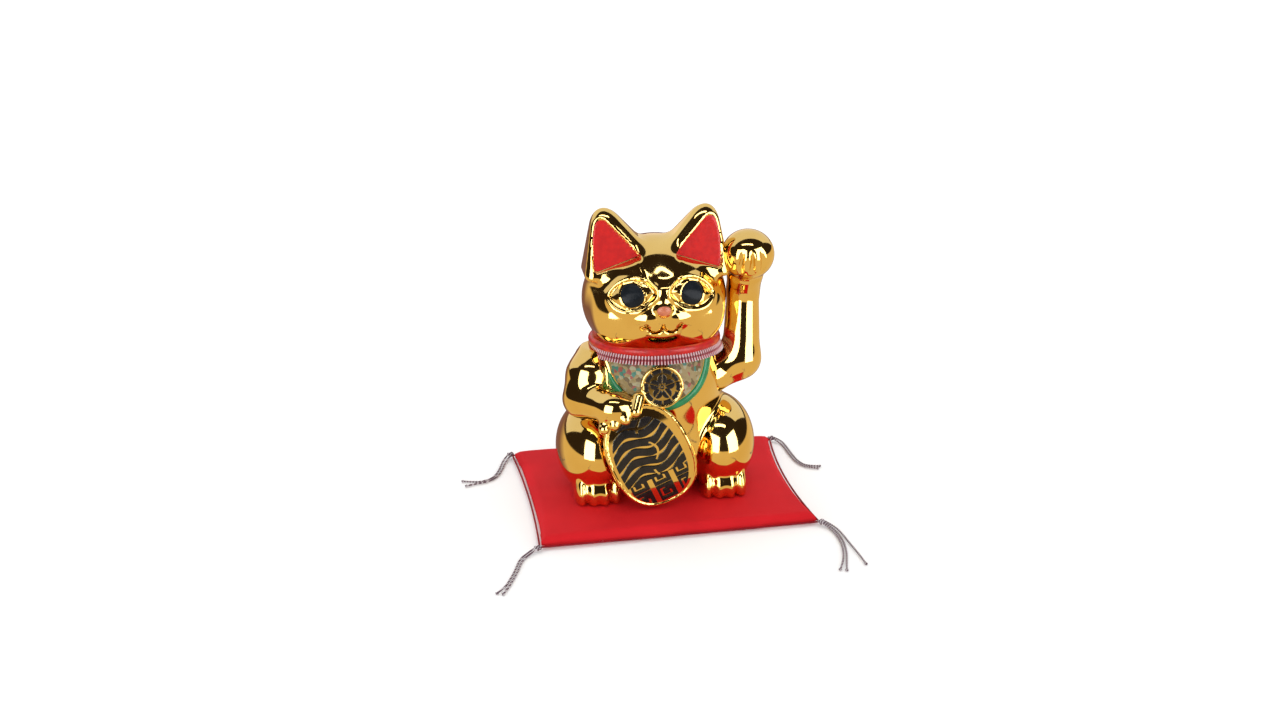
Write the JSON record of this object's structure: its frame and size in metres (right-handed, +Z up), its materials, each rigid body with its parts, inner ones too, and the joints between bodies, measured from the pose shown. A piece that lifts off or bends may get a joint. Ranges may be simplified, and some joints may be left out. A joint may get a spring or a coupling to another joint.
{
  "type": "beckoning cat figurine",
  "caption": "Gold-plated ceramic cat with a raised paw, holding an oval coin, seated on a thin red cushion with tasselled corners.",
  "frame": {"origin": "centre of the cushion's underside", "axes": "+Z up, the cat faces -Y, +X is the viewer's right"},
  "size_m": [0.2941, 0.2508, 0.2358],
  "materials": {
    "gold_plating": "bright gold plating over glazed slip-cast ceramic",
    "black_enamel": "glossy black enamel, fired on",
    "red_enamel": "satin red enamel",
    "nose_enamel": "salmon enamel",
    "bib_brocade": "flower brocade painted in cream, green, pink and gold",
    "bib_green": "glossy green enamel",
    "collar_red": "red enamel with a painted flower trim",
    "collar_pleats": "pink and silver pleated trim",
    "red_cotton": "plain woven red cotton",
    "seam_cord": "dark red seam cord",
    "wadding": "polyester wadding",
    "tassel_cord": "two-ply twisted cord, dark purple and white"
  },
  "bodies": {
    "cushion": {"cushion_cover_top": "red_cotton", "cushion_cover_bottom": "red_cotton", "seam_piping": "seam_cord", "cushion_wadding": "wadding", "corner_knot_front_left": "tassel_cord", "corner_knot_front_right": "tassel_cord", "corner_knot_back_right": "tassel_cord", "corner_knot_back_left": "tassel_cord", "cord_front_left_1": "tassel_cord", "cord_front_left_2": "tassel_cord", "cord_front_right_1": "tassel_cord", "cord_front_right_2": "tassel_cord", "cord_front_right_3": "tassel_cord", "cord_back_right_1": "tassel_cord", "cord_back_right_2": "tassel_cord", "cord_back_left_1": "tassel_cord", "cord_back_left_2": "tassel_cord", "tip_knots": "tassel_cord"},
    "figure": {"figure_shell": "gold_plating", "raised_arm": "gold_plating", "koban_coin": "gold_plating", "medallion_disc": "gold_plating", "koban_relief": "black_enamel", "medallion_relief": "black_enamel", "left_eye": "black_enamel", "right_eye": "black_enamel", "left_ear_lining": "red_enamel", "right_ear_lining": "red_enamel", "nose": "nose_enamel", "bib_panel": "bib_brocade", "bib_border": "bib_green", "collar_band": "collar_red", "collar_frill": "collar_pleats"}
  },
  "joints": [
    {"name": "figure_lift", "type": "slide", "parent": "cushion", "child": "figure", "axis": [0, 0, 1], "range_m": [0, 0.12]}
  ]
}
